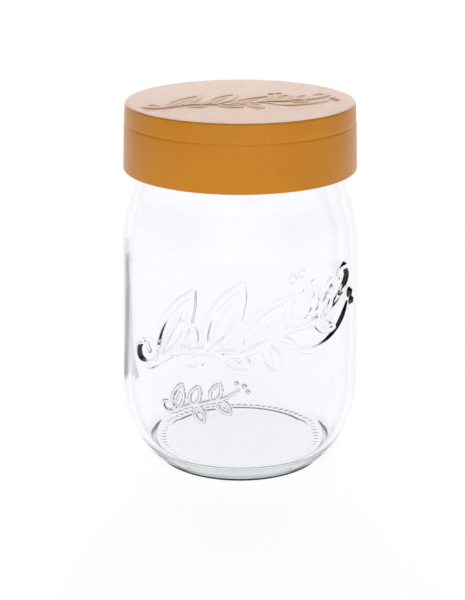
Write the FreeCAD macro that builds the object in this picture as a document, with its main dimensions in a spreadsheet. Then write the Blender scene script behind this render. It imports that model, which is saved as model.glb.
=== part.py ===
"""Screw-top storage jar: a clear glass jar, a moulded screw cap, and the sealing disc and gasket that
the cap carries.

Frame: origin at the centre of the flat ring the jar stands on, +Z up the jar's axis, -Y towards the
side that carries the moulded decoration. Lengths are millimetres.
"""

import FreeCAD, Part

import math
import os

import Sketcher

OUTPUT = "parts"
SHEET = "Sizes"

# Driving dimensions. Radii are measured from the jar's axis and heights from the standing plane.
DIMENSIONS = {
    # glass jar, outside
    "ring_inner_radius": 33.2,
    "foot_radius": 38.75,
    "heel_radius": 51.85,
    "heel_height": 14.65,
    "chest_radius": 51.2,
    "chest_height": 100.8,
    "finish_radius": 45.0,
    "neck_height": 122.5,
    "rim_height": 152.4,
    "push_up": 2.2,
    "push_up_radius": 29.5,
    # glass jar, inside
    "floor_height": 6.6,
    "floor_radius": 40.2,
    "inner_heel_radius": 48.75,
    "inner_heel_height": 15.8,
    "inner_chest_radius": 48.1,
    "inner_chest_height": 100.4,
    "mouth_radius": 41.8,
    "inner_neck_height": 122.5,
    # glass jar, rounding
    "heel_round": 39.5,
    "chest_round": 62.0,
    "neck_round": 38.0,
    "foot_round": 2.2,
    "ring_round": 1.6,
    "rim_round": 1.2,
    "inner_heel_round": 23.0,
    "inner_chest_round": 59.0,
    "inner_neck_round": 36.0,
    "floor_round": 6.0,
    # screw thread
    "thread_pitch": 6.35,
    "thread_turns": 1.25,
    "jar_thread_height": 137.0,
    "jar_thread_crest": 46.8,
    "jar_thread_base": 3.2,
    "jar_thread_top": 1.5,
    "cap_thread_drop": 2.25,
    "cap_thread_crest": 45.55,
    "cap_thread_base": 2.6,
    "cap_thread_top": 1.1,
    "thread_root": 0.35,
    # screw cap
    "cap_bottom": 129.0,
    "cap_top": 157.6,
    "cap_foot_radius": 50.0,
    "cap_step_radius": 49.35,
    "cap_step_height": 148.4,
    "cap_step_width": 1.0,
    "cap_step_depth": 0.22,
    "cap_top_radius": 48.85,
    "cap_edge_round": 0.9,
    "cap_foot_round": 0.5,
    "cap_deck": 2.0,
    "cap_bore_radius": 47.35,
    "cap_mouth_radius": 48.4,
    "cap_lead_in": 3.0,
    "cap_bead_height": 152.9,
    "cap_bead_width": 1.4,
    "cap_bead_radius": 46.55,
    "cap_corner_round": 0.6,
    # sealing disc and gasket
    "disc_radius": 47.0,
    "disc_gap": 0.1,
    "disc_thickness": 1.5,
    "disc_recess": 0.5,
    "disc_recess_radius": 37.5,
    "disc_plug_radius": 41.3,
    "disc_plug_wall": 1.5,
    "disc_plug_depth": 5.2,
    "disc_round": 0.4,
    "gasket_inner_radius": 41.35,
    "gasket_outer_radius": 45.8,
    "gasket_gap": 0.05,
    "gasket_round": 0.35,
}


class Size:
    """A length that knows its value now and the sheet expression that keeps it bound."""

    def __init__(self, value, text):
        self.value = value
        self.text = text

    def combined(self, other, value, sign):
        text = other.text if isinstance(other, Size) else repr(float(other))
        return Size(value, f"({self.text} {sign} {text})")

    def __add__(self, other):
        return self.combined(other, self.value + number(other), "+")

    def __sub__(self, other):
        return self.combined(other, self.value - number(other), "-")

    def __mul__(self, other):
        return self.combined(other, self.value * number(other), "*")


def number(size):
    """The plain number behind a Size or a number."""
    return size.value if isinstance(size, Size) else float(size)


def size(alias):
    """The sheet's cell of this alias, as a Size."""
    return Size(DIMENSIONS[alias], f"{SHEET}.{alias}")


def make_sheet(doc):
    """Writes the driving dimensions into a spreadsheet, one aliased cell to a row."""
    sheet = doc.addObject("Spreadsheet::Sheet", SHEET)
    for row, (alias, value) in enumerate(DIMENSIONS.items(), start=1):
        sheet.set(f"A{row}", alias.replace("_", " "))
        sheet.set(f"B{row}", str(value))
        sheet.setAlias(f"B{row}", alias)
    doc.recompute()
    return sheet


def make_body(doc, label):
    """A PartDesign body whose label names its file."""
    body = doc.addObject("PartDesign::Body", "Body_" + label)
    body.Label = label
    return body


def axial_plane(body):
    """The body's own XZ plane, in which radii run along X and heights along Z."""
    return next(f for f in body.Origin.OriginFeatures if f.Role == "XZ_Plane")


def outline(body, name, corners):
    """A closed sketch of straight sides through corners, each a (radius, height) pair of sizes."""
    sketch = body.newObject("Sketcher::SketchObject", name)
    sketch.AttachmentSupport = [(axial_plane(body), "")]
    sketch.MapMode = "FlatFace"
    points = [FreeCAD.Vector(number(r), number(z), 0) for r, z in corners]
    count = len(points)
    for i, point in enumerate(points):
        sketch.addGeometry(Part.LineSegment(point, points[(i + 1) % count]), False)
    for i in range(count):
        sketch.addConstraint(Sketcher.Constraint("Coincident", i, 2, (i + 1) % count, 1))
    for i, corner in enumerate(corners):
        bind_corner(sketch, i, "X", corner[0])
        bind_corner(sketch, i, "Y", corner[1])
    return sketch


def bind_corner(sketch, side, axis, length):
    """Binds the start of a side to the sheet along one axis, or holds it on the axis line at zero."""
    if number(length) == 0:
        line = -2 if axis == "X" else -1
        sketch.addConstraint(Sketcher.Constraint("PointOnObject", side, 1, line))
        return
    kind = "Distance" + axis
    index = sketch.addConstraint(Sketcher.Constraint(kind, -1, 1, side, 1, number(length)))
    sketch.setExpression(f"Constraints[{index}]", length.text)


def turn(body, name, corners):
    """Revolves a closed outline once round the jar's axis."""
    sketch = outline(body, name + "Outline", corners)
    turned = body.newObject("PartDesign::Revolution", name)
    turned.Profile = sketch
    turned.ReferenceAxis = (sketch, ["V_Axis"])
    turned.Angle = 360
    body.Document.recompute()
    return turned


def circle_names(shape, places):
    """The names of the circular edges at the given (radius, height) places."""
    names = []
    for radius, height in places:
        for index, edge in enumerate(shape.Edges, start=1):
            curve = edge.Curve
            if not isinstance(curve, Part.Circle) or len(edge.Vertexes) > 1:
                continue
            if abs(curve.Radius - number(radius)) < 1e-4 and abs(curve.Center.z - number(height)) < 1e-4:
                names.append(f"Edge{index}")
    if len(names) != len(places):
        raise ValueError(f"found {len(names)} of {len(places)} edges to round")
    return names


def round_corners(body, name, radius, places):
    """Fillets the turned corners at the given (radius, height) places."""
    base = body.Tip
    fillet = body.newObject("PartDesign::Fillet", name)
    fillet.Base = (base, circle_names(base.Shape, places))
    fillet.Radius = number(radius)
    fillet.setExpression("Radius", radius.text)
    body.Document.recompute()
    return fillet


def add_thread(body, name, corners):
    """Winds a thread ridge of the given cross-section round the axis, right-handed and rising."""
    sketch = outline(body, name + "Section", corners)
    thread = body.newObject("PartDesign::AdditiveHelix", name)
    thread.Profile = sketch
    thread.ReferenceAxis = (sketch, ["V_Axis"])
    thread.Mode = "pitch-turns-angle"
    thread.Pitch = number(size("thread_pitch"))
    thread.Turns = number(size("thread_turns"))
    thread.setExpression("Pitch", size("thread_pitch").text)
    thread.setExpression("Turns", size("thread_turns").text)
    thread.LeftHanded = False
    thread.Reversed = False
    body.Document.recompute()
    return thread


def make_glass_jar(doc):
    """The jar: pushed-up base in a standing ring, round heel, near-straight wall, soft shoulder and a
    threaded finish with a rounded rim."""
    body = make_body(doc, "glass_jar")
    zero = Size(0.0, "0")
    ring = (size("ring_inner_radius"), zero)
    foot = (size("foot_radius"), zero)
    heel = (size("heel_radius"), size("heel_height"))
    chest = (size("chest_radius"), size("chest_height"))
    neck = (size("finish_radius"), size("neck_height"))
    rim = (size("finish_radius"), size("rim_height"))
    inner_rim = (size("mouth_radius"), size("rim_height"))
    inner_neck = (size("mouth_radius"), size("inner_neck_height"))
    inner_chest = (size("inner_chest_radius"), size("inner_chest_height"))
    inner_heel = (size("inner_heel_radius"), size("inner_heel_height"))
    floor = (size("floor_radius"), size("floor_height"))
    floor_centre = (zero, size("floor_height"))
    push_up_centre = (zero, size("push_up"))
    push_up = (size("push_up_radius"), size("push_up"))
    outside = [ring, foot, heel, chest, neck, rim]
    inside = [inner_rim, inner_neck, inner_chest, inner_heel, floor, floor_centre]
    turn(body, "JarWall", outside + inside + [push_up_centre, push_up])
    round_corners(body, "HeelRound", size("heel_round"), [heel])
    round_corners(body, "ChestRound", size("chest_round"), [chest])
    round_corners(body, "NeckRound", size("neck_round"), [neck])
    round_corners(body, "InnerHeelRound", size("inner_heel_round"), [inner_heel])
    round_corners(body, "InnerChestRound", size("inner_chest_round"), [inner_chest])
    round_corners(body, "InnerNeckRound", size("inner_neck_round"), [inner_neck])
    round_corners(body, "FloorRound", size("floor_round"), [floor])
    round_corners(body, "FootRound", size("foot_round"), [foot])
    round_corners(body, "RingRound", size("ring_round"), [ring, push_up])
    round_corners(body, "RimRound", size("rim_round"), [rim, inner_rim])
    middle = size("jar_thread_height")
    half_base = size("jar_thread_base") * 0.5
    half_top = size("jar_thread_top") * 0.5
    root = size("finish_radius") - size("thread_root")
    crest = size("jar_thread_crest")
    add_thread(
        body,
        "JarThread",
        [
            (root, middle - half_base),
            (crest, middle - half_top),
            (crest, middle + half_top),
            (root, middle + half_base),
        ],
    )
    return body


def make_screw_cap(doc):
    """The cap: a flat deck and a plain tapered skirt with one shallow step, a bead inside that holds the
    sealing disc, and the thread that draws the cap down."""
    body = make_body(doc, "screw_cap")
    zero = Size(0.0, "0")
    deck = size("cap_top") - size("cap_deck")
    bead_low = size("cap_bead_height") - size("cap_bead_width") * 0.5
    bead_high = size("cap_bead_height") + size("cap_bead_width") * 0.5
    step_top = size("cap_step_height") + size("cap_step_width")
    top_edge = (size("cap_top_radius"), size("cap_top"))
    foot = (size("cap_foot_radius"), size("cap_bottom"))
    inner_corner = (size("cap_bore_radius"), deck)
    turn(
        body,
        "CapShell",
        [
            foot,
            (size("cap_step_radius"), size("cap_step_height")),
            (size("cap_step_radius") - size("cap_step_depth"), step_top),
            top_edge,
            (zero, size("cap_top")),
            (zero, deck),
            inner_corner,
            (size("cap_bore_radius"), bead_high),
            (size("cap_bead_radius"), size("cap_bead_height")),
            (size("cap_bore_radius"), bead_low),
            (size("cap_bore_radius"), size("cap_bottom") + size("cap_lead_in")),
            (size("cap_mouth_radius"), size("cap_bottom")),
        ],
    )
    round_corners(body, "CapEdgeRound", size("cap_edge_round"), [top_edge])
    round_corners(body, "CapFootRound", size("cap_foot_round"), [foot])
    round_corners(body, "CapCornerRound", size("cap_corner_round"), [inner_corner])
    middle = size("jar_thread_height") - size("cap_thread_drop")
    half_base = size("cap_thread_base") * 0.5
    half_top = size("cap_thread_top") * 0.5
    root = size("cap_bore_radius") + size("thread_root")
    crest = size("cap_thread_crest")
    add_thread(
        body,
        "CapThread",
        [
            (crest, middle - half_top),
            (root, middle - half_base),
            (root, middle + half_base),
            (crest, middle + half_top),
        ],
    )
    return body


def make_sealing_disc(doc):
    """The disc under the cap's deck: a flat plate with a shallow centre recess, and a short plug wall
    that centres it in the mouth and holds the gasket."""
    body = make_body(doc, "sealing_disc")
    zero = Size(0.0, "0")
    top = size("cap_top") - size("cap_deck") - size("disc_gap")
    under = top - size("disc_thickness")
    recess = top - size("disc_recess")
    plug_foot = top - size("disc_plug_depth")
    plug_inner = size("disc_plug_radius") - size("disc_plug_wall")
    rim_top = (size("disc_radius"), top)
    rim_under = (size("disc_radius"), under)
    plug_corner = (size("disc_plug_radius"), plug_foot)
    plug_inner_corner = (plug_inner, plug_foot)
    turn(
        body,
        "DiscPlate",
        [
            (zero, recess),
            (size("disc_recess_radius") - size("disc_recess"), recess),
            (size("disc_recess_radius"), top),
            rim_top,
            rim_under,
            (size("disc_plug_radius"), under),
            plug_corner,
            plug_inner_corner,
            (plug_inner, under),
            (zero, under),
        ],
    )
    round_corners(body, "DiscRimRound", size("disc_round"), [rim_top, rim_under, plug_corner, plug_inner_corner])
    return body


def make_seal_gasket(doc):
    """The gasket: a flat ring between the sealing disc and the jar's rim."""
    body = make_body(doc, "seal_gasket")
    top = size("cap_top") - size("cap_deck") - size("disc_gap") - size("disc_thickness")
    bottom = size("rim_height") + size("gasket_gap")
    inner_foot = (size("gasket_inner_radius"), bottom)
    outer_foot = (size("gasket_outer_radius"), bottom)
    outer_top = (size("gasket_outer_radius"), top)
    turn(body, "GasketRing", [inner_foot, outer_foot, outer_top, (size("gasket_inner_radius"), top)])
    round_corners(body, "GasketRound", size("gasket_round"), [inner_foot, outer_foot])
    return body


def check(doc, bodies):
    """Stops the build if any object failed or any piece isn't a sound solid."""
    doc.recompute()
    for item in doc.Objects:
        if "Invalid" in item.State or "Error" in item.State:
            raise RuntimeError(f"{item.Label} failed: {item.State}")
    for body in bodies:
        shape = body.Shape
        if shape.isNull() or not shape.isValid() or not shape.Solids:
            raise RuntimeError(f"{body.Label} is not a valid solid")
        box = shape.BoundBox
        print(
            f"{body.Label}: {len(shape.Solids)} solid, {shape.Volume / 1000:.2f} cm3, "
            f"z {box.ZMin:.2f} to {box.ZMax:.2f}, radius {max(box.XMax, box.YMax):.2f}"
        )


def brimful_litres():
    """How much the jar holds to the rim, from the corners of its inner outline."""
    corners = [
        ("floor_radius", "floor_height"),
        ("inner_heel_radius", "inner_heel_height"),
        ("inner_chest_radius", "inner_chest_height"),
        ("mouth_radius", "inner_neck_height"),
        ("mouth_radius", "rim_height"),
    ]
    total = 0.0
    for (radius_a, height_a), (radius_b, height_b) in zip(corners, corners[1:]):
        low, high = DIMENSIONS[radius_a], DIMENSIONS[radius_b]
        rise = DIMENSIONS[height_b] - DIMENSIONS[height_a]
        total += math.pi * rise * (low * low + low * high + high * high) / 3
    return total / 1e6


def main():
    """Builds the document and writes one STEP file for each piece."""
    os.makedirs(OUTPUT, exist_ok=True)
    doc = FreeCAD.newDocument("ScrewTopJar")
    make_sheet(doc)
    makers = [make_glass_jar, make_screw_cap, make_sealing_disc, make_seal_gasket]
    bodies = [make(doc) for make in makers]
    check(doc, bodies)
    print(f"brimful capacity about {brimful_litres():.2f} litres")
    for body in bodies:
        body.Shape.exportStep(os.path.join(OUTPUT, body.Label + ".step"))


main()
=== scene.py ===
"""Looks for the screw-top storage jar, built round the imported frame.

The jar is one clear glass skin with a moulded leaf spray, a screw thread and a ribbed standing ring.
The cap is matte gold with the same spray raised on its deck. The disc and gasket keep their frame shapes
and get their own finishes.
"""

import logging
import math
from dataclasses import dataclass, field
from enum import Enum

import bmesh
import bpy
import numpy as np
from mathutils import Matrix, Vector


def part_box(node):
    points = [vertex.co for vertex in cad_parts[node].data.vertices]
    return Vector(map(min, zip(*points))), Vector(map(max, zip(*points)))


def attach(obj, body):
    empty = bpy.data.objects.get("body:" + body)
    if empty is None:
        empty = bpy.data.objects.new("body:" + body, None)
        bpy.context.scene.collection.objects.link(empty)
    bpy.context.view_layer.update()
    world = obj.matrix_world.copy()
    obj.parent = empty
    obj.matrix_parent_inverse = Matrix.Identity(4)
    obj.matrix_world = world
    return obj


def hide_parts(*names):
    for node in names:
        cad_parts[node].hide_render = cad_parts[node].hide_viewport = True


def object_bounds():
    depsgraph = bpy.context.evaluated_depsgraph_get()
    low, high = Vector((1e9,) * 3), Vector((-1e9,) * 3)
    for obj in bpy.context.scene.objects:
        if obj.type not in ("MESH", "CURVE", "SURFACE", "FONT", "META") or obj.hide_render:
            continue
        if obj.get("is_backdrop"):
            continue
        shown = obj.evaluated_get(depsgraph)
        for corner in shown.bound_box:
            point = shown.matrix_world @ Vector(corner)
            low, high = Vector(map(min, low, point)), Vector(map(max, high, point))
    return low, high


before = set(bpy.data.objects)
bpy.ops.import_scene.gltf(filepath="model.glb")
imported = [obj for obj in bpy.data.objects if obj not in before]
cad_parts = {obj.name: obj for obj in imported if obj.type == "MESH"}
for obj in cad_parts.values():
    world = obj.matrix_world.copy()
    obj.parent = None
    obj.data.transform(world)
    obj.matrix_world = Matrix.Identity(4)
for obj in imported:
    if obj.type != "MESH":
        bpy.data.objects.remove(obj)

log = logging.getLogger("storage_jar")

MM = 0.001
MOULD_SHADE = "mould_shade"
NOISE_SPREAD = (0.3, 0.7)
MIX_FIRST, MIX_SECOND, MIX_RESULT = 6, 7, 2

Colour = tuple[float, float, float]
Span = tuple[float, float]


def outward(place: Vector) -> Vector:
    """Returns the level direction from the upright axis to a place, one unit long."""
    return Vector((place.x, place.y, 0.0)).normalized()


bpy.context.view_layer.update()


class Skin(Enum):
    """Which way a moulded decoration stands out of its surface."""

    WALL = "wall"
    DECK = "deck"


# --------------------------------------------------------------------------- shader recipes


@dataclass(frozen=True)
class Pattern:
    """A noise pattern: repeats to a metre, octaves, and how strong the finer octaves are."""

    scale: float
    detail: float = 3.0
    roughness: float = 0.5


@dataclass(frozen=True)
class Grain:
    """Fine relief in the shading: its pattern, its depth in metres and how much of it shows."""

    pattern: Pattern
    depth: float
    strength: float


class Recipe:
    """A material under construction, with short calls to add and join its nodes."""

    def __init__(self, name: str) -> None:
        """Starts a material that holds one Principled shader.

        Args:
            name: the material's name.
        """
        self.material = bpy.data.materials.new(name)
        self.material.use_nodes = True
        self.tree = self.material.node_tree
        self.shader = self.tree.nodes["Principled BSDF"]
        self.output = self.tree.nodes["Material Output"]

    def add(self, kind: str, **values: object) -> bpy.types.Node:
        """Adds a node and sets its properties or input values.

        Args:
            kind: the node's type name without its ShaderNode prefix.
            values: properties by name, or inputs by name with underscores for spaces.

        Returns:
            The new node.
        """
        node = self.tree.nodes.new("ShaderNode" + kind)
        for key, value in values.items():
            if hasattr(node, key):
                setattr(node, key, value)
            else:
                node.inputs[key.replace("_", " ")].default_value = value
        return node

    def join(self, source: bpy.types.NodeSocket, target: bpy.types.NodeSocket) -> None:
        """Joins one socket to another."""
        self.tree.links.new(source, target)

    def set(self, **values: object) -> None:
        """Sets inputs of the Principled shader, with underscores for spaces."""
        for key, value in values.items():
            self.shader.inputs[key.replace("_", " ")].default_value = value

    def place(self) -> bpy.types.NodeSocket:
        """Returns object coordinates, which stay with the piece."""
        return self.add("TexCoord").outputs["Object"]

    def noise(self, pattern: Pattern) -> bpy.types.NodeSocket:
        """Adds a noise pattern.

        Args:
            pattern: its scale and octaves.

        Returns:
            The pattern's value socket, about 0 to 1.
        """
        node = self.add(
            "TexNoise", Scale=pattern.scale, Detail=pattern.detail, Roughness=pattern.roughness
        )
        self.join(self.place(), node.inputs["Vector"])
        return node.outputs["Fac"]

    def spread(self, pattern: Pattern, span: Span = (0.0, 1.0)) -> bpy.types.NodeSocket:
        """Adds a noise pattern stretched over a span of values.

        Args:
            pattern: its scale and octaves.
            span: the values where the pattern is low and where it is high.

        Returns:
            The stretched value.
        """
        source = self.noise(pattern)
        node = self.add("MapRange")
        self.join(source, node.inputs["Value"])
        node.inputs["From Min"].default_value, node.inputs["From Max"].default_value = NOISE_SPREAD
        node.inputs["To Min"].default_value, node.inputs["To Max"].default_value = span
        return node.outputs["Result"]

    def blend(
        self,
        factor: bpy.types.NodeSocket,
        first: Colour | bpy.types.NodeSocket,
        second: Colour,
    ) -> bpy.types.NodeSocket:
        """Mixes two colours by a pattern.

        Args:
            factor: the pattern, 0 for the first colour and 1 for the second.
            first: linear colour, or the socket that gives one.
            second: linear colour.

        Returns:
            The mixed colour.
        """
        node = self.add("Mix", data_type="RGBA")
        self.join(factor, node.inputs["Factor"])
        if isinstance(first, tuple):
            node.inputs[MIX_FIRST].default_value = (*first, 1.0)
        else:
            self.join(first, node.inputs[MIX_FIRST])
        node.inputs[MIX_SECOND].default_value = (*second, 1.0)
        return node.outputs[MIX_RESULT]

    def mould_shade(self) -> bpy.types.NodeSocket:
        """Returns the mesh's own mask of its moulded lines, 0 to 1: painted grey shade on the glass, extra
        roughness on the cap's deck.
        """
        return self.add("Attribute", attribute_name=MOULD_SHADE).outputs["Fac"]

    def bump(self, grain: Grain, below: bpy.types.NodeSocket | None = None) -> bpy.types.NodeSocket:
        """Adds fine relief to the shading.

        Args:
            grain: the relief's pattern, depth and strength.
            below: a bump that this one is laid over.

        Returns:
            The changed normal.
        """
        height = self.noise(grain.pattern)
        node = self.add("Bump", Distance=grain.depth, Strength=grain.strength)
        self.join(height, node.inputs["Height"])
        if below is not None:
            self.join(below, node.inputs["Normal"])
        return node.outputs["Normal"]

    def dress(self, colour: bpy.types.NodeSocket, rough: bpy.types.NodeSocket, *grains: Grain) -> None:
        """Joins the colour, the roughness and the fine relief to the shader.

        Args:
            colour: the colour's socket.
            rough: the roughness's socket.
            grains: the relief, the lowest layer first.
        """
        self.join(colour, self.shader.inputs["Base Color"])
        self.join(rough, self.shader.inputs["Roughness"])
        relief = None
        for grain in grains:
            relief = self.bump(grain, relief)
        self.join(relief, self.shader.inputs["Normal"])


@dataclass(frozen=True)
class ClearGlass:
    """Soda-lime glass: clear, with painted grey shade at its grazing edges and along the sides of its
    moulded lines and ribs.
    """

    tint: Colour = (0.978, 0.982, 1.0)
    # Painted shade: grey laid into the glass colour where the wall is seen edge-on; edge_reach sets where
    # it starts.
    painted_edge_shade: Colour = (0.66, 0.70, 0.71)
    edge_reach: Span = (0.60, 0.98)
    # Painted shade: dark grey laid into the glass along the sides of its moulded lines and on its ribs.
    painted_outline_shade: Colour = (0.040, 0.045, 0.055)
    depth_tint: Colour = (0.50, 0.60, 0.58)
    depth_density: float = 5.0
    ior: float = 1.515
    bloom: Pattern = Pattern(130.0, 4.0)
    bloom_rough: Span = (0.0, 0.012)
    ripple: Grain = Grain(Pattern(55.0, 1.0, 0.3), 0.00035, 0.2)

    def material(self) -> bpy.types.Material:
        """Builds the glass with its slow ripple, its faint bloom and its painted grey edge and outline
        shade.

        Returns:
            The material.
        """
        recipe = Recipe("clear_glass")
        recipe.set(IOR=self.ior, Transmission_Weight=1.0, Specular_IOR_Level=0.5)
        # Painted shade: the glass colour turns grey towards the grazing edges.
        facing = recipe.add("LayerWeight", Blend=0.5)
        rim = recipe.add("MapRange", interpolation_type="SMOOTHSTEP")
        recipe.join(facing.outputs["Facing"], rim.inputs["Value"])
        rim.inputs["From Min"].default_value, rim.inputs["From Max"].default_value = self.edge_reach
        edged = recipe.blend(rim.outputs["Result"], self.tint, self.painted_edge_shade)
        # Painted shade along the moulded lines, read from the mesh's mask.
        outlined = recipe.blend(recipe.mould_shade(), edged, self.painted_outline_shade)
        recipe.dress(outlined, recipe.spread(self.bloom, self.bloom_rough), self.ripple)
        absorb = recipe.add("VolumeAbsorption", Density=self.depth_density)
        absorb.inputs["Color"].default_value = (*self.depth_tint, 1.0)
        recipe.join(absorb.outputs["Volume"], recipe.output.inputs["Volume"])
        return recipe.material


@dataclass(frozen=True)
class GoldPlastic:
    """Matte moulded plastic with a gold pigment and a fine spark-eroded grain."""

    light: Colour = (0.640, 0.242, 0.008)
    dark: Colour = (0.570, 0.206, 0.006)
    ior: float = 1.5
    gloss: float = 0.26
    cloud: Pattern = Pattern(38.0, 5.0, 0.6)
    fleck: Pattern = Pattern(2600.0, 2.0, 0.7)
    fleck_value: Span = (0.90, 1.10)
    wear: Pattern = Pattern(420.0, 4.0)
    rough: Span = (0.28, 0.34)
    relief_rough: float = 0.04
    flow: Grain = Grain(Pattern(700.0), 0.00008, 0.12)
    grain: Grain = Grain(Pattern(2600.0, 3.0, 0.6), 0.00006, 0.5)

    def material(self) -> bpy.types.Material:
        """Builds the gold plastic with pigment clouding, flow marks and grain.

        Returns:
            The material.
        """
        recipe = Recipe("gold_plastic")
        recipe.set(IOR=self.ior, Specular_IOR_Level=self.gloss)
        tone = recipe.add("HueSaturation")
        recipe.join(recipe.blend(recipe.spread(self.cloud), self.light, self.dark), tone.inputs["Color"])
        recipe.join(recipe.spread(self.fleck, self.fleck_value), tone.inputs["Value"])
        etched = recipe.add("Math", operation="MULTIPLY_ADD", use_clamp=True)
        mark, share, worn = etched.inputs
        recipe.join(recipe.mould_shade(), mark)
        share.default_value = self.relief_rough
        recipe.join(recipe.spread(self.wear, self.rough), worn)
        recipe.dress(tone.outputs["Color"], etched.outputs[0], self.flow, self.grain)
        return recipe.material


@dataclass(frozen=True)
class DiscPlastic:
    """White food-grade plastic, satin, a little translucent."""

    light: Colour = (0.80, 0.79, 0.76)
    dark: Colour = (0.74, 0.73, 0.70)
    ior: float = 1.5
    glow_share: float = 0.12
    glow_depth: float = 0.002
    cloud: Pattern = Pattern(60.0, 4.0)
    wear: Pattern = Pattern(500.0)
    rough: Span = (0.34, 0.46)
    skin: Grain = Grain(Pattern(1500.0, 2.0), 0.00005, 0.3)

    def material(self) -> bpy.types.Material:
        """Builds the white plastic with a soft mould texture.

        Returns:
            The material.
        """
        recipe = Recipe("disc_plastic")
        recipe.set(IOR=self.ior, Subsurface_Weight=self.glow_share, Subsurface_Scale=self.glow_depth)
        colour = recipe.blend(recipe.spread(self.cloud), self.light, self.dark)
        recipe.dress(colour, recipe.spread(self.wear, self.rough), self.skin)
        return recipe.material


@dataclass(frozen=True)
class GasketRubber:
    """Soft off-white sealing rubber with a dusty, matte surface."""

    light: Colour = (0.66, 0.63, 0.56)
    dark: Colour = (0.58, 0.55, 0.48)
    ior: float = 1.52
    dust: float = 0.2
    speckle: Pattern = Pattern(1800.0)
    wear: Pattern = Pattern(300.0)
    rough: Span = (0.66, 0.82)
    tooth: Grain = Grain(Pattern(2200.0), 0.00008, 0.5)

    def material(self) -> bpy.types.Material:
        """Builds the rubber with its speckle and its fine tooth.

        Returns:
            The material.
        """
        recipe = Recipe("gasket_rubber")
        recipe.set(IOR=self.ior, Sheen_Weight=self.dust)
        colour = recipe.blend(recipe.spread(self.speckle), self.light, self.dark)
        recipe.dress(colour, recipe.spread(self.wear, self.rough), self.tooth)
        return recipe.material


@dataclass(frozen=True)
class PaleFloor:
    """The plain white sweep the jar stands on."""

    colour: Colour = (0.35, 0.34, 0.32)
    glow_colour: Colour = (0.985, 0.99, 1.0)
    glow: float = 0.85

    def material(self) -> bpy.types.Material:
        """Builds the floor's matte white.

        Returns:
            The material.
        """
        recipe = Recipe("pale_floor")
        recipe.set(Base_Color=(*self.colour, 1.0), Roughness=0.9, Specular_IOR_Level=0.0)
        recipe.set(Emission_Color=(*self.glow_colour, 1.0), Emission_Strength=self.glow)
        return recipe.material


# --------------------------------------------------------------------------- moulded decoration


@dataclass
class Stroke:
    """One raised line of a moulded decoration, in millimetres on the flat drawing."""

    points: list[tuple[float, float]]
    width: float
    tip: float = 0.6
    taper: float = 1 / 6
    steps: int = 9

    def path(self) -> tuple[np.ndarray, np.ndarray]:
        """Runs a smooth curve through the stroke's points.

        Returns:
            The sampled points and the half width at each.
        """
        marks = np.array(self.points, dtype=float)
        marks = np.vstack([2 * marks[0] - marks[1], marks, 2 * marks[-1] - marks[-2]])
        fractions = np.linspace(0.0, 1.0, self.steps, endpoint=False)[:, None]
        runs = []
        for before, start, end, after in zip(marks, marks[1:], marks[2:], marks[3:]):
            slope = end - before
            bend = 2 * before - 5 * start + 4 * end - after
            twist = 3 * (start - end) + after - before
            runs.append(0.5 * (2 * start + slope * fractions + bend * fractions**2 + twist * fractions**3))
        runs.append(marks[-2][None, :])
        path = np.vstack(runs)
        along = np.linspace(0.0, 1.0, len(path))
        swell = np.minimum(1.0, np.minimum(along, 1 - along) / self.taper)
        half = 0.5 * self.width * (self.tip + (1 - self.tip) * swell)
        return path, half


@dataclass
class Leaf:
    """A pointed leaf drawn as an outline, with a midrib if it is long enough to hold one."""

    foot: tuple[float, float]
    heading: float
    length: float
    breadth: float
    width: float
    ribbed_from: float = 12.0

    def strokes(self) -> list[Stroke]:
        """Draws the leaf.

        Returns:
            Its two sides and its midrib, if it has one.
        """
        angle = math.radians(self.heading)
        ahead = Vector((math.cos(angle), math.sin(angle)))
        aside = Vector((-ahead.y, ahead.x))
        base = Vector(self.foot)
        tip = base + ahead * self.length

        def at(along: float, across: float) -> tuple[float, float]:
            """Returns the point this far along and across the leaf, as fractions."""
            point = base + ahead * (along * self.length) + aside * (across * self.breadth)
            return (point.x, point.y)

        left = [at(0, 0), at(0.22, 0.40), at(0.5, 0.52), at(0.78, 0.33), (tip.x, tip.y)]
        right = [at(0, 0), at(0.22, -0.40), at(0.5, -0.52), at(0.78, -0.33), (tip.x, tip.y)]
        sides = [Stroke(left, self.width, 0.75), Stroke(right, self.width, 0.75)]
        if self.length < self.ribbed_from:
            return sides
        rib = Stroke([at(-0.02, 0), at(0.25, 0.03), at(0.5, 0.02), at(0.70, 0.0)], self.width * 0.62, 0.5)
        return sides + [rib]


@dataclass
class Berry:
    """A round raised dot."""

    centre: tuple[float, float]
    radius: float


@dataclass
class Spray:
    """A flowing stem with leaves, tendrils and berries, drawn flat."""

    stems: list[Stroke]
    leaves: list[Leaf]
    berries: list[Berry]

    def fitted(self, shift: tuple[float, float], scale: tuple[float, float], gain: float) -> "FlatDrawing":
        """Moves and scales the spray on to a surface.

        Args:
            shift: where the drawing's own origin goes, in millimetres.
            scale: stretch across and up.
            gain: how much line widths and berries are scaled.

        Returns:
            The drawing as sampled lines and dots.
        """
        strokes = self.stems + [stroke for leaf in self.leaves for stroke in leaf.strokes()]
        stretch = np.array(scale)
        move = np.array(shift)
        lines = []
        for stroke in strokes:
            path, half = stroke.path()
            lines.append((path * stretch + move, half * gain))
        dots = [(np.array(b.centre) * stretch + move, b.radius * gain) for b in self.berries]
        return FlatDrawing(lines, dots)


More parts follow.
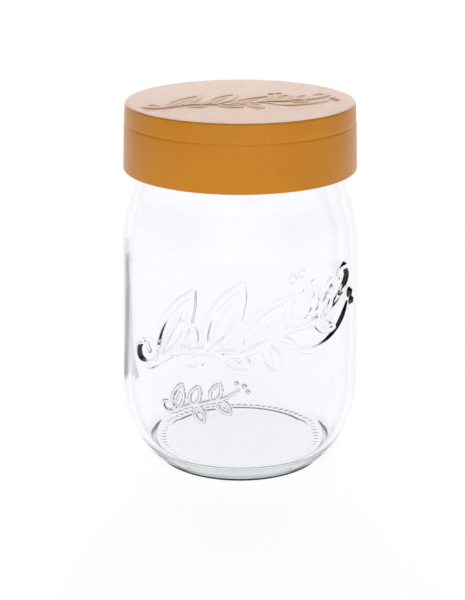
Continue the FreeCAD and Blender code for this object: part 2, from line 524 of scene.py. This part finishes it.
@dataclass
class FlatDrawing:
    """Sampled lines and dots, ready to be raised out of a surface."""

    lines: list[tuple[np.ndarray, np.ndarray]]
    dots: list[tuple[np.ndarray, float]]
    search_margin: float = 3.0

    def closeness(self, places: np.ndarray) -> np.ndarray:
        """Measures how deep each place lies inside a line or dot.

        Args:
            places: points on the flat drawing, one to a row.

        Returns:
            Two columns. The first is the best value of 1 - distance / half width, which is negative
            outside every line. The second is the half width that gave it.
        """
        best = np.full(len(places), -1e3)
        girth = np.ones(len(places))
        for path, half in self.lines:
            for start, end, wide_a, wide_b in zip(path, path[1:], half, half[1:]):
                reach = max(wide_a, wide_b) + self.search_margin
                low = np.minimum(start, end) - reach
                high = np.maximum(start, end) + reach
                near = np.where(((places > low) & (places < high)).all(axis=1))[0]
                if len(near) == 0:
                    continue
                run = end - start
                along = np.clip(((places[near] - start) @ run) / max(run @ run, 1e-12), 0.0, 1.0)
                gap = np.linalg.norm(places[near] - start - along[:, None] * run, axis=1)
                wide = wide_a + (wide_b - wide_a) * along
                value = 1.0 - gap / wide
                better = value > best[near]
                best[near[better]] = value[better]
                girth[near[better]] = wide[better]
        for centre, radius in self.dots:
            value = 1.0 - np.linalg.norm(places - centre, axis=1) / radius
            better = value > best
            best[better] = value[better]
            girth[better] = radius
        return np.stack([best, girth], axis=1)


def main_spray() -> Spray:
    """Draws the large spray that rises from the lower left to the upper right.

    Returns:
        The spray, in millimetres on the jar's unrolled wall.
    """
    stem = Stroke(
        [
            (-43.0, 57.5), (-46.5, 60.5), (-50.5, 58.0), (-49.5, 52.5), (-43.5, 51.2), (-36.5, 55.0),
            (-27.0, 61.0), (-16.0, 62.8), (-4.0, 61.8), (8.0, 65.0), (19.0, 71.0), (30.0, 72.5),
            (41.0, 75.5), (49.5, 81.5), (54.5, 88.0), (52.5, 92.6), (48.2, 91.6), (48.6, 88.2),
        ],
        3.4,
        0.55,
    )  # fmt: skip
    tail = Stroke(
        [(24.0, 62.6), (30.0, 60.6), (38.0, 61.8), (45.5, 65.5), (51.0, 70.2), (55.5, 76.0)], 2.7, 0.4
    )
    link = Stroke([(15.0, 68.6), (20.5, 66.5), (24.0, 62.6)], 2.3, 0.7)
    curl = Stroke(
        [(-29.5, 59.6), (-25.5, 55.5), (-20.0, 54.2), (-16.6, 56.8), (-18.6, 59.4), (-21.2, 57.8)], 2.0, 0.5
    )
    upper = Stroke([(-21.0, 62.6), (-18.5, 68.0), (-20.5, 73.5), (-24.0, 73.8), (-24.4, 70.8)], 2.0, 0.5)
    leaves = [
        Leaf((-38.0, 54.5), 61.0, 38.0, 10.5, 2.9),
        Leaf((-14.0, 62.8), 63.0, 33.0, 10.5, 2.9),
        Leaf((-1.0, 62.0), 46.0, 33.0, 11.0, 2.8),
        Leaf((-9.0, 62.0), -28.0, 15.5, 7.0, 2.4),
        Leaf((9.0, 65.2), -62.0, 14.5, 6.5, 2.4),
        Leaf((24.0, 72.0), 65.0, 20.5, 7.8, 2.5),
        Leaf((35.5, 73.6), 66.0, 17.5, 6.4, 2.4),
        Leaf((33.0, 73.0), -24.0, 13.0, 5.4, 2.2),
    ]
    berries = [
        Berry((22.0, 93.0), 1.7),
        Berry((26.2, 95.0), 1.6),
        Berry((57.6, 79.6), 1.8),
        Berry((59.6, 75.6), 1.6),
    ]
    return Spray([stem, tail, link, curl, upper], leaves, berries)


def small_spray() -> Spray:
    """Draws the short sprig below the large spray, towards the left.

    Returns:
        The sprig, in millimetres on the jar's unrolled wall.
    """
    stem = Stroke(
        [
            (-32.0, 37.8), (-34.8, 36.6), (-33.8, 33.6), (-29.4, 33.6), (-23.0, 37.0),
            (-15.0, 39.6), (-7.0, 42.2), (-0.5, 46.4),
        ],
        2.1,
        0.5,
    )  # fmt: skip
    leaves = [
        Leaf((-29.0, 33.8), 74.0, 13.5, 5.0, 1.8),
        Leaf((-21.0, 38.0), 68.0, 9.5, 4.2, 1.7),
        Leaf((-19.0, 38.4), -66.0, 8.5, 4.0, 1.7),
        Leaf((-12.0, 40.6), 66.0, 9.0, 4.0, 1.7),
        Leaf((-9.5, 41.4), -48.0, 8.0, 3.8, 1.7),
    ]
    berries = [Berry((1.6, 48.0), 1.1), Berry((-1.6, 49.2), 1.0), Berry((3.2, 45.4), 1.0)]
    return Spray([stem], leaves, berries)


# --------------------------------------------------------------------------- turned meshes


@dataclass
class Corner:
    """A corner of a turned outline: its radius and height, and how it is rounded, in millimetres."""

    radius: float
    height: float
    rounding: float = 0.0
    steps: int = 4


@dataclass(frozen=True)
class Window:
    """A part of a turned skin: radius and height in millimetres, and the angle either side of the front."""

    radius: Span
    height: Span
    half_angle: float = math.pi

    def holds(self, place: Vector) -> bool:
        """Says whether a place lies in the window."""
        radius = math.hypot(place.x, place.y) / MM
        height = place.z / MM
        angle = abs(math.atan2(place.x, -place.y))
        return (
            self.radius[0] <= radius <= self.radius[1]
            and self.height[0] <= height <= self.height[1]
            and angle <= self.half_angle
        )


class Turning:
    """A mesh made by drawing half an outline and spinning it round the upright axis."""

    def __init__(self, corners: list[Corner]) -> None:
        """Draws the outline as a chain of edges and rounds its corners.

        Args:
            corners: the outline's corners in order, outside first.
        """
        self.mesh = bmesh.new()
        self.mesh.verts.layers.float.new(MOULD_SHADE)
        chain = [self.mesh.verts.new((c.radius * MM, 0.0, c.height * MM)) for c in corners]
        for first, second in zip(chain, chain[1:]):
            self.mesh.edges.new((first, second))
        inner = range(1, len(corners) - 1)
        plan = [(chain[i], self.run_back(corners, i), corners[i].steps) for i in inner]
        for vertex, offset, steps in plan:
            if offset > 0:
                bmesh.ops.bevel(
                    self.mesh,
                    geom=[vertex],
                    offset=offset * MM,
                    offset_type="OFFSET",
                    segments=steps,
                    profile=0.5,
                    affect="VERTICES",
                    material=-1,
                )

    @staticmethod
    def run_back(corners: list[Corner], index: int) -> float:
        """Works out how far along its sides a corner's rounding starts.

        Args:
            corners: the outline.
            index: which corner.

        Returns:
            The distance from the corner to where the arc begins, in millimetres.
        """
        before, here, after = corners[index - 1], corners[index], corners[index + 1]
        arriving = math.atan2(here.height - before.height, here.radius - before.radius)
        leaving = math.atan2(after.height - here.height, after.radius - here.radius)
        turn = abs((leaving - arriving + math.pi) % (2 * math.pi) - math.pi)
        return here.rounding * math.tan(turn / 2)

    def refine(self, window: Window, row: float) -> None:
        """Divides the outline's edges inside a window into short rows.

        Args:
            window: the part of the outline.
            row: the longest row allowed, in millimetres.
        """
        for edge in list(self.mesh.edges):
            if not window.holds((edge.verts[0].co + edge.verts[1].co) / 2):
                continue
            cuts = math.ceil(edge.calc_length() / MM / row) - 1
            if cuts > 0:
                bmesh.ops.subdivide_edges(self.mesh, edges=[edge], cuts=cuts)

    def spin(self, columns: int) -> None:
        """Spins the outline a full turn into a closed skin and points its faces outwards.

        Args:
            columns: how many columns of faces go round.
        """
        bmesh.ops.spin(
            self.mesh,
            geom=self.mesh.verts[:] + self.mesh.edges[:],
            cent=(0.0, 0.0, 0.0),
            axis=(0.0, 0.0, 1.0),
            angle=2 * math.pi,
            steps=columns,
            use_merge=True,
            use_duplicate=False,
        )
        bmesh.ops.remove_doubles(self.mesh, verts=self.mesh.verts[:], dist=1e-7)
        bmesh.ops.recalc_face_normals(self.mesh, faces=self.mesh.faces[:])

    def finish(self, name: str, material: bpy.types.Material) -> bpy.types.Object:
        """Makes the object, smooth shaded and dressed.

        Args:
            name: the object's name.
            material: its finish.

        Returns:
            The object, at the origin.
        """
        data = bpy.data.meshes.new(name)
        self.mesh.to_mesh(data)
        self.mesh.free()
        for polygon in data.polygons:
            polygon.use_smooth = True
        piece = bpy.data.objects.new(name, data)
        bpy.context.scene.collection.objects.link(piece)
        data.materials.append(material)
        return piece


@dataclass
class RaisedDecoration:
    """Raises a flat drawing out of a turned skin.

    A line's height is height_share of its half width, and flat_share of that half width is its flat top.
    """

    drawing: FlatDrawing
    skin: Skin
    height_share: float
    flat_share: float
    radius: float = 1.0
    cuts: int = 2
    refine_margin: float = 0.9
    outline_gain: float = 1.7
    deck_gain: float = 3.0

    def flatten(self, vertices: list[bmesh.types.BMVert]) -> np.ndarray:
        """Unrolls vertices on to the flat drawing.

        Args:
            vertices: vertices of the skin.

        Returns:
            Their places on the drawing, in millimetres.
        """
        where = np.array([vertex.co[:] for vertex in vertices]) / MM
        if self.skin is Skin.DECK:
            return where[:, :2]
        around = np.arctan2(where[:, 0], -where[:, 1]) * self.radius
        return np.stack([around, where[:, 2]], axis=1)

    def refine(self, mesh: bmesh.types.BMesh, inside: Window) -> None:
        """Divides the skin's faces near the drawing.

        Args:
            mesh: the skin.
            inside: the part of the skin the drawing may touch.
        """
        mesh.verts.index_update()
        faces = [face for face in mesh.faces if all(inside.holds(vertex.co) for vertex in face.verts)]
        corners = sorted({vertex for face in faces for vertex in face.verts}, key=lambda v: v.index)
        close_by, girth = self.drawing.closeness(self.flatten(corners)).T
        beyond = -close_by * girth
        near = {vertex for vertex, gap in zip(corners, beyond) if gap < self.refine_margin}
        close = [face for face in faces if any(vertex in near for vertex in face.verts)]
        edges = list({edge for face in close for edge in face.edges})
        bmesh.ops.subdivide_edges(mesh, edges=edges, cuts=self.cuts, use_grid_fill=True)

    def raise_from(self, mesh: bmesh.types.BMesh, inside: Window) -> int:
        """Refines the skin near the drawing and moves its vertices out.

        Args:
            mesh: the skin.
            inside: the part of the skin the drawing may touch.

        Returns:
            How many vertices were moved.
        """
        self.refine(mesh, inside)
        vertices = [vertex for vertex in mesh.verts if inside.holds(vertex.co)]
        measure = self.drawing.closeness(self.flatten(vertices))
        shade = mesh.verts.layers.float[MOULD_SHADE]
        moved = 0
        for vertex, (close_by, girth) in zip(vertices, measure):
            if close_by <= 0:
                vertex[shade] = 0.0
                continue
            # On glass this mark paints grey shade along the line's sides.
            vertex[shade] = self.shade(close_by)
            lift = self.lift(close_by, girth) * MM
            if self.skin is Skin.DECK:
                vertex.co.z += lift
            else:
                vertex.co += outward(vertex.co) * lift
            moved += 1
        return moved

    def lift(self, close_by: float, girth: float) -> float:
        """Gives the height of a line's rounded or flat-topped section.

        Args:
            close_by: 0 at the line's edge and 1 on its middle.
            girth: the line's half width, in millimetres.

        Returns:
            The height, in millimetres.
        """
        share = min(1.0, close_by / (1.0 - self.flat_share))
        return self.height_share * girth * (1.0 - (1.0 - share) ** 2)

    def shade(self, close_by: float) -> float:
        """Gives how strongly a place is marked: the sides of a line on glass, where the mark paints grey
        shade, and the whole line on a deck, where it adds roughness.

        Args:
            close_by: 0 at the line's edge and 1 on its middle.

        Returns:
            The mark, 0 to 1.
        """
        if self.skin is Skin.DECK:
            return min(1.0, self.deck_gain * close_by)
        return min(1.0, max(0.0, self.outline_gain * (1.0 - close_by / (1.0 - self.flat_share))))


@dataclass
class ScrewThread:
    """A single-start right-handed thread ridge, raised out of a turned wall.

    Lengths are in millimetres. The lead is the angle over which the ridge runs in and out, in radians.
    """

    start_height: float
    pitch: float = 6.35
    turns: float = 1.25
    rise: float = 1.8
    base: float = 3.2
    crest: float = 1.5
    lead: float = 0.22

    def ridge(self, place: Vector) -> float:
        """Gives the ridge's height above the wall at a place on it.

        Args:
            place: a point on the wall.

        Returns:
            The height, in millimetres.
        """
        angle = math.atan2(place.y, place.x) % (2 * math.pi)
        height = place.z / MM
        best = 0.0
        for whole in range(math.ceil(self.turns) + 1):
            turned = angle / (2 * math.pi) + whole
            if turned > self.turns:
                break
            middle = self.start_height + self.pitch * turned
            off = abs(height - middle)
            slope = (self.base / 2 - off) / (self.base / 2 - self.crest / 2)
            from_end = min(turned, self.turns - turned) * 2 * math.pi
            ends = min(1.0, from_end / self.lead)
            best = max(best, min(1.0, max(0.0, slope)) * math.sin(math.pi / 2 * max(0.0, ends)))
        return best * self.rise

    def cut(self, mesh: bmesh.types.BMesh, wall: Window, side: float) -> None:
        """Moves the wall's vertices to form the ridge.

        Args:
            mesh: the skin.
            wall: the part of the skin that carries the thread.
            side: 1 for a thread outside a wall, -1 for one inside.
        """
        for vertex in mesh.verts:
            if wall.holds(vertex.co):
                vertex.co += outward(vertex.co) * (self.ridge(vertex.co) * side * MM)


# --------------------------------------------------------------------------- the jar


@dataclass
class GlassJar:
    """The jar: one clear skin, outside, rim and inside. Lengths in millimetres."""

    finish_material: ClearGlass = field(default_factory=ClearGlass)
    columns: int = 288
    outer: list[Corner] = field(
        default_factory=lambda: [
            Corner(0.0, 0.5),
            Corner(31.4, 0.5, 1.2, 3),
            Corner(33.2, 0.0, 1.2, 3),
            Corner(38.75, 0.0, 2.2, 4),
            Corner(51.85, 14.65, 39.5, 18),
            Corner(51.2, 100.8, 62.0, 10),
            Corner(45.0, 122.5, 38.0, 8),
        ]
    )
    inner: list[Corner] = field(
        default_factory=lambda: [
            Corner(41.8, 122.5, 36.0, 8),
            Corner(48.1, 100.4, 59.0, 10),
            Corner(48.75, 18.0, 36.4, 16),
            Corner(40.45, 6.6, 4.2, 6),
            Corner(0.0, 6.6),
        ]
    )
    finish_radius: float = 45.0
    mouth_radius: float = 41.8
    rim_round: float = 1.2
    thread_start: float = 137.0
    thread_foot: float = 130.0
    relief_radius: float = 51.5
    relief_front: Window = Window((49.7, 54.0), (27.0, 98.0), math.radians(72))
    relief_flat: float = 0.30
    main_height_share: float = 0.72
    main_gain: float = 1.25
    small_height_share: float = 0.80
    small_gain: float = 1.0
    relief_row: float = 1.1
    thread_row: float = 0.6
    rib_row: float = 0.9
    plain_row: float = 12.0
    base_row: float = 8.0
    rib_ring: Window = Window((33.9, 36.7), (-0.1, 0.1))
    rib_columns: int = 4
    rib_height: float = 0.17
    # rib_shade: strength of the painted grey shade on the ribs.
    rib_shade: float = 0.06

    def build(self) -> bpy.types.Object:
        """Builds the glass, with its decoration, thread and ribs.

        Returns:
            The glass piece.
        """
        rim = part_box("glass_jar")[1].z / MM
        corners = self.outer + [
            Corner(self.finish_radius, rim, self.rim_round, 5),
            Corner(self.mouth_radius, rim, self.rim_round, 5),
        ] + self.inner
        turning = Turning(corners)
        self.divide(turning, rim)
        turning.spin(self.columns)
        sprays = (
            (main_spray(), self.main_height_share, self.main_gain),
            (small_spray(), self.small_height_share, self.small_gain),
        )
        for spray, share, gain in sprays:
            drawing = spray.fitted((0.0, 0.0), (1.0, 1.0), gain)
            relief = RaisedDecoration(drawing, Skin.WALL, share, self.relief_flat, self.relief_radius)
            moved = relief.raise_from(turning.mesh, self.relief_front)
            log.info("glass relief moved %d vertices", moved)
        wall = Window(
            (self.finish_radius - 0.5, self.finish_radius + 0.6),
            (self.thread_foot, rim - self.rim_round - 0.1),
        )
        ScrewThread(self.thread_start).cut(turning.mesh, wall, 1.0)
        self.press_ribs(turning.mesh)
        return turning.finish("glass_body", self.finish_material.material())

    def divide(self, turning: Turning, rim: float) -> None:
        """Cuts the outline into short rows where the skin is moulded and long ones elsewhere.

        Args:
            turning: the outline, not yet spun.
            rim: the height of the rim.
        """
        rows = (
            (Window((50.0, 53.0), (28.0, 97.0)), self.relief_row),
            (Window((44.0, 46.0), (self.thread_foot, rim)), self.thread_row),
            (Window((33.3, 38.6), (-0.1, 0.1)), self.rib_row),
            (Window((47.0, 49.5), (30.0, 99.0)), self.plain_row),
            (Window((0.0, 28.6), (0.4, 6.7)), self.base_row),
        )
        for window, row in rows:
            turning.refine(window, row)

    def press_ribs(self, mesh: bmesh.types.BMesh) -> None:
        """Presses short radial ribs into the standing ring, each as wide as the gap to the next, and marks
        them with faint painted grey shade.

        Args:
            mesh: the skin.
        """
        shade = mesh.verts.layers.float[MOULD_SHADE]
        for vertex in mesh.verts:
            if not self.rib_ring.holds(vertex.co):
                continue
            column = round(math.atan2(vertex.co.y, vertex.co.x) / (2 * math.pi) * self.columns)
            if column % self.rib_columns < self.rib_columns / 2:
                vertex.co.z += self.rib_height * MM
                # Painted shade: a faint grey mark on each rib in the glass.
                vertex[shade] = self.rib_shade


# --------------------------------------------------------------------------- the cap


@dataclass
class ScrewCap:
    """The cap: deck, tapered skirt with one shallow step, bead and thread. Lengths in millimetres."""

    finish_material: GoldPlastic = field(default_factory=GoldPlastic)
    columns: int = 256
    foot_radius: float = 50.0
    step_radius: float = 49.4
    top_radius: float = 48.85
    bore_radius: float = 47.35
    mouth_radius: float = 48.4
    bead_radius: float = 46.55
    bead_drop: float = 2.7
    bead_half_height: float = 0.7
    deck: float = 2.0
    edge_round: float = 0.9
    foot_round: float = 0.5
    step_rise: float = 19.4
    step_brow: tuple[float, float] = (0.14, 1.9)
    step_groove: tuple[float, float] = (0.38, 1.0)
    step_ledge: float = 0.25
    step_round: float = 0.3
    mouth_rise: float = 3.0
    thread_rise: float = 5.75
    thread_base: float = 2.6
    thread_crest: float = 1.1
    thread_row: float = 0.6
    relief_row: float = 1.15
    plain_row: float = 12.0
    relief_height: float = 0.20
    relief_flat: float = 0.45
    relief_shift: tuple[float, float] = (-2.6, -56.6)
    relief_scale: tuple[float, float] = (0.73, 0.76)
    relief_gain: float = 1.05

    def outline(self, foot: float, top: float) -> list[Corner]:
        """Draws the cap's section from the middle of the deck round to the middle of its underside.

        Args:
            foot: height of the skirt's lower edge.
            top: height of the deck.

        Returns:
            The corners.
        """
        under = top - self.deck
        bead = under - self.bead_drop
        step = foot + self.step_rise
        (brow_depth, brow_rise), (groove_depth, groove_rise) = self.step_brow, self.step_groove
        return [
            Corner(0.0, top),
            Corner(self.top_radius, top, self.edge_round, 5),
            Corner(self.step_radius - brow_depth, step + brow_rise, self.step_round, 2),
            Corner(self.step_radius - groove_depth, step + groove_rise, self.step_round, 2),
            Corner(self.step_radius, step + self.step_ledge, self.step_round, 3),
            Corner(self.foot_radius, foot, self.foot_round, 4),
            Corner(self.mouth_radius, foot, 0.25, 2),
            Corner(self.bore_radius, foot + self.mouth_rise, 0.5, 2),
            Corner(self.bore_radius, bead - self.bead_half_height),
            Corner(self.bead_radius, bead, 0.3, 3),
            Corner(self.bore_radius, bead + self.bead_half_height),
            Corner(self.bore_radius, under, 0.6, 3),
            Corner(0.0, under),
        ]

    def build(self) -> bpy.types.Object:
        """Builds the cap with its thread and the spray raised on its deck.

        Returns:
            The cap piece.
        """
        low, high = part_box("screw_cap")
        foot, top = low.z / MM, high.z / MM
        turning = Turning(self.outline(foot, top))
        under = top - self.deck
        bore = (self.bore_radius - 0.15, self.bore_radius + 0.15)
        turning.refine(Window((0.0, 48.0), (top - 0.1, top + 0.1)), self.relief_row)
        turning.refine(Window((0.0, 47.0), (under - 0.1, under + 0.1)), self.plain_row)
        turning.refine(Window(bore, (foot + self.mouth_rise, top - 5.5)), self.thread_row)
        turning.spin(self.columns)
        drawing = main_spray().fitted(self.relief_shift, self.relief_scale, self.relief_gain)
        relief = RaisedDecoration(drawing, Skin.DECK, self.relief_height, self.relief_flat)
        deck = Window((0.8, 47.0), (top - 0.1, top + 1.0))
        log.info("deck relief moved %d vertices", relief.raise_from(turning.mesh, deck))
        thread = ScrewThread(foot + self.thread_rise, base=self.thread_base, crest=self.thread_crest)
        thread.cut(turning.mesh, Window(bore, (foot + self.mouth_rise + 0.4, top - 5.6)), -1.0)
        return turning.finish("cap_shell", self.finish_material.material())


# --------------------------------------------------------------------------- the seal


@dataclass
class Seal:
    """The disc and gasket, kept as the frame has them and given their own finishes."""

    disc_material: DiscPlastic = field(default_factory=DiscPlastic)
    gasket_material: GasketRubber = field(default_factory=GasketRubber)

    def dress(self) -> None:
        """Puts the finishes on the frame's disc and gasket."""
        plan = {"sealing_disc": self.disc_material, "seal_gasket": self.gasket_material}
        for node, finish in plan.items():
            material = finish.material()
            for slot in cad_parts[node].material_slots:
                slot.material = material
            log.info("dressed %s", node)


# --------------------------------------------------------------------------- the studio


@dataclass(frozen=True)
class Glow:
    """A soft patch of light on the surround."""

    heading: tuple[float, float, float]
    strength: float
    reach: Span


@dataclass
class Surround:
    """The light from all round: dim above, bright at the skyline, a soft light in front and one behind."""

    skyline: float = 0.80
    tent: float = 0.06
    skyline_reach: Span = (0.04, 0.22)
    glows: tuple[Glow, ...] = (
        Glow((0.0, -0.90, 0.44), 1.22, (0.55, 1.0)),
        Glow((0.0, 0.97, 0.22), 2.35, (0.60, 1.0)),
    )
    colour: Colour = (0.985, 0.99, 1.0)

    def build(self) -> None:
        """Builds the surround's shader and gives it to the scene."""
        world = bpy.data.worlds.new("studio")
        bpy.context.scene.world = world
        world.use_nodes = True
        self.tree = world.node_tree
        background = self.tree.nodes["Background"]
        heading = self.tree.nodes.new("ShaderNodeTexCoord").outputs["Generated"]
        split = self.tree.nodes.new("ShaderNodeSeparateXYZ")
        self.tree.links.new(heading, split.inputs["Vector"])
        total = self.step(split.outputs["Z"], self.skyline_reach, (self.skyline, self.tent))
        for glow in self.glows:
            aim = self.tree.nodes.new("ShaderNodeVectorMath")
            aim.operation = "DOT_PRODUCT"
            aim.inputs[1].default_value = Vector(glow.heading).normalized()
            self.tree.links.new(heading, aim.inputs[0])
            patch = self.step(aim.outputs["Value"], glow.reach, (0.0, glow.strength))
            total = self.add_up(total, patch)
        self.tree.links.new(total, background.inputs["Strength"])
        background.inputs["Color"].default_value = (*self.colour, 1.0)

    def add_up(self, first: bpy.types.NodeSocket, second: bpy.types.NodeSocket) -> bpy.types.NodeSocket:
        """Returns the sum of two values."""
        node = self.tree.nodes.new("ShaderNodeMath")
        self.tree.links.new(first, node.inputs[0])
        self.tree.links.new(second, node.inputs[1])
        return node.outputs[0]

    def step(
        self,
        value: bpy.types.NodeSocket,
        span: Span,
        result: Span,
    ) -> bpy.types.NodeSocket:
        """Adds a soft step from one value to another.

        Args:
            value: what is stepped.
            span: where the step starts and ends.
            result: the values before and after it.

        Returns:
            The stepped value.
        """
        node = self.tree.nodes.new("ShaderNodeMapRange")
        node.interpolation_type = "SMOOTHSTEP"
        node.inputs["From Min"].default_value, node.inputs["From Max"].default_value = span
        node.inputs["To Min"].default_value, node.inputs["To Max"].default_value = result
        self.tree.links.new(value, node.inputs["Value"])
        return node.outputs["Result"]


@dataclass(frozen=True)
class Card:
    """A flat card lying behind the jar, seen only in the glass. Lengths are in metres."""

    grey: float
    height: float
    outline: tuple[tuple[float, float], ...]


@dataclass
class Studio:
    """A white sweep, light from all round, a painted contact shadow, and a pale tent and grey cards that
    only the glass sees."""

    cards: tuple[Card, ...] = (
        Card(0.74, 0.0010, (
            (-0.070, 0.080), (-0.100, 0.140), (-0.145, 0.215), (-0.195, 0.300), (-0.240, 0.380),
            (-0.320, 0.380), (-0.260, 0.220), (-0.180, 0.120), (-0.108, 0.070),
        )),
        Card(0.36, 0.0015, (
            (-0.066, 0.082), (-0.098, 0.128), (-0.122, 0.158), (-0.160, 0.205), (-0.215, 0.280),
            (-0.265, 0.280), (-0.200, 0.182), (-0.150, 0.134), (-0.112, 0.096), (-0.092, 0.066),
        )),
    )  # fmt: skip
    tent_radius: float = 5.0
    tent_light: float = 0.90
    floor_radius: float = 6.0
    floor_gap: float = 0.0002
    # The contact_ fields shape the painted contact shadow at the front of the standing ring.
    contact_radius: float = 38.3
    contact_breadth: float = 2.0
    contact_half_angle: float = 62.0
    contact_steps: int = 48
    contact_grey: float = 0.05
    card_colour: Colour = (0.97, 0.99, 1.0)
    light_bounces: int = 32

    def build(self) -> None:
        """Builds the floor, the cards, the tent and the surround."""
        self.lay_floor()
        self.lay_contact()
        for card in self.cards:
            self.lay_card(card)
        self.raise_tent()
        Surround().build()
        paths = bpy.context.scene.cycles
        paths.max_bounces = paths.glossy_bounces = paths.transmission_bounces = self.light_bounces

    def lay_floor(self) -> None:
        """Lays a wide pale floor under the jar."""
        mesh = bmesh.new()
        bmesh.ops.create_circle(mesh, cap_ends=True, radius=self.floor_radius, segments=96)
        floor = self.stand(mesh, "floor", PaleFloor().material())
        floor.location.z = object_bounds()[0].z - self.floor_gap

    def lay_contact(self) -> None:
        """Lays a thin dark crescent on the floor, a painted contact shadow where the front of the standing
        ring meets the floor.
        """
        mesh = bmesh.new()
        outer, inner = [], []
        for share in np.linspace(-1.0, 1.0, self.contact_steps + 1):
            angle = math.radians(share * self.contact_half_angle)
            spread = self.contact_breadth * math.cos(share * math.pi / 2)
            for radius, row in ((self.contact_radius + spread, outer), (self.contact_radius, inner)):
                place = (radius * MM * math.sin(angle), -radius * MM * math.cos(angle), 0.0)
                row.append(mesh.verts.new(place))
        for near_a, near_b, far_b, far_a in zip(inner, inner[1:], outer[1:], outer):
            bmesh.ops.contextual_create(mesh, geom=[near_a, near_b, far_b, far_a])
        shade = self.stand(mesh, "contact_shade", self.lamp("contact_shade", self.contact_grey))
        shade.location.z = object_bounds()[0].z - self.floor_gap / 2
        shade.visible_diffuse = shade.visible_transmission = False

    def lay_card(self, card: Card) -> None:
        """Lays one grey card on the floor behind the jar, to its left.

        Args:
            card: its grey, height and outline.
        """
        mesh = bmesh.new()
        corners = [mesh.verts.new((x, y, card.height)) for x, y in card.outline]
        bmesh.ops.contextual_create(mesh, geom=corners)
        self.hide(self.stand(mesh, "grey_card", self.lamp("grey_card", card.grey)))

    def raise_tent(self) -> None:
        """Raises a pale half globe that lights nothing and is seen only through the glass."""
        mesh = bmesh.new()
        bmesh.ops.create_uvsphere(mesh, u_segments=48, v_segments=24, radius=self.tent_radius)
        below = [vertex for vertex in mesh.verts if vertex.co.z < -MM]
        bmesh.ops.delete(mesh, geom=below, context="VERTS")
        tent = self.stand(mesh, "pale_tent", self.lamp("pale_tent", self.tent_light))
        self.hide(tent)
        tent.visible_glossy = False

    def lamp(self, name: str, light: float) -> bpy.types.Material:
        """Makes a plain glowing material.

        Args:
            name: the material's name.
            light: how bright it is, 1 for the floor's white.

        Returns:
            The material.
        """
        recipe = Recipe(name)
        recipe.set(Base_Color=(0.0, 0.0, 0.0, 1.0), Roughness=1.0, Specular_IOR_Level=0.0)
        recipe.set(Emission_Color=(*self.card_colour, 1.0), Emission_Strength=light)
        return recipe.material

    @staticmethod
    def hide(thing: bpy.types.Object) -> None:
        """Keeps a studio object out of the picture and out of the lighting."""
        thing.visible_camera = False
        thing.visible_diffuse = False
        thing.visible_shadow = False

    @staticmethod
    def stand(mesh: bmesh.types.BMesh, name: str, material: bpy.types.Material) -> bpy.types.Object:
        """Makes a studio object.

        Args:
            mesh: its shape, which is used up.
            name: its name.
            material: its finish.

        Returns:
            The object, marked as not part of the jar.
        """
        data = bpy.data.meshes.new(name)
        mesh.to_mesh(data)
        mesh.free()
        thing = bpy.data.objects.new(name, data)
        bpy.context.scene.collection.objects.link(thing)
        data.materials.append(material)
        thing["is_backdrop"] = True
        return thing


@dataclass
class Viewpoint:
    """The camera: a long lens a little above the jar, looking down on it."""

    place: tuple[float, float, float] = (-0.00326, -0.6679, 0.2890)
    pitch: float = 18.27
    lens: float = 95.75
    sensor: float = 36.0

    def build(self) -> None:
        """Places the camera and makes it the scene's own."""
        data = bpy.data.cameras.new("camera")
        data.sensor_fit = "VERTICAL"
        data.sensor_height = self.sensor
        data.lens = self.lens
        data.clip_start = 0.01
        holder = bpy.data.objects.new("camera", data)
        bpy.context.scene.collection.objects.link(holder)
        holder.location = self.place
        holder.rotation_euler = (math.radians(90.0 - self.pitch), 0.0, 0.0)
        bpy.context.scene.camera = holder


def main() -> None:
    """Builds every piece, hangs it on its body and lights the scene."""
    logging.basicConfig(level=logging.INFO, format="%(message)s")
    glass = GlassJar().build()
    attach(glass, "jar")
    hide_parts("glass_jar")
    log.info("%s: %d faces", glass.name, len(glass.data.polygons))
    cap = ScrewCap().build()
    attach(cap, "cap")
    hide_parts("screw_cap")
    log.info("%s: %d faces", cap.name, len(cap.data.polygons))
    Seal().dress()
    Studio().build()
    Viewpoint().build()
    bpy.context.scene.view_settings.view_transform = "Standard"


if __name__ == "__main__":
    main()
